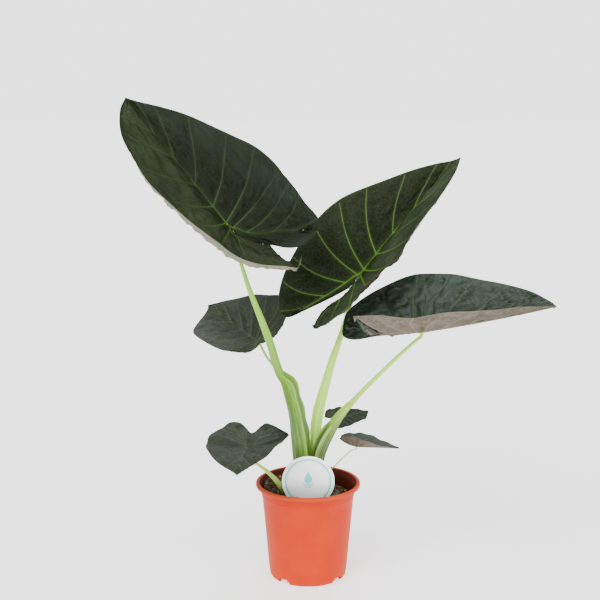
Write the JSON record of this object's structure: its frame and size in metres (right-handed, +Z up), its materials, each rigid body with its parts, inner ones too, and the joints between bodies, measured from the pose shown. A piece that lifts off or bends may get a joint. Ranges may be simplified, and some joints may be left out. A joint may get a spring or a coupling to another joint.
{
  "type": "potted alocasia plant",
  "caption": "Young alocasia with arrow-shaped, quilted dark leaves on long pale stalks, growing in a round terracotta-coloured nursery pot with a blank round plant tag.",
  "frame": {"origin": "on the ground, under the middle of the whole plant's bounding box; the pot's axis stands at x -0.0495, y +0.0125", "axes": "+Z up; -Y is the side the plant tag faces, the front; +X is to the right of someone looking at the front"},
  "size_m": [0.6585, 0.3496, 0.7805],
  "materials": {
    "pot": "satin moulded plastic",
    "compost": "coarse and dull",
    "corm": "fibrous and dull",
    "tag": "smooth printed card",
    "stalk": "smooth and slightly waxy",
    "leaf": "satin, dark green above and brownish below"
  },
  "bodies": {
    "root": {"pot": "pot", "soil": "compost", "corm": "corm", "plant_label": "tag", "stalk_upper_left": "stalk", "stalk_centre": "stalk", "stalk_right": "stalk", "stalk_middle_left": "stalk", "stalk_lower_left": "stalk", "stalk_small_back": "stalk", "stalk_small_right": "stalk", "stalk_sprout": "stalk", "blade_upper_left": "leaf", "blade_centre": "leaf", "blade_right": "leaf", "blade_middle_left": "leaf", "blade_lower_left": "leaf", "blade_small_back": "leaf", "blade_small_right": "leaf", "blade_sprout": "leaf"}
  },
  "joints": []
}
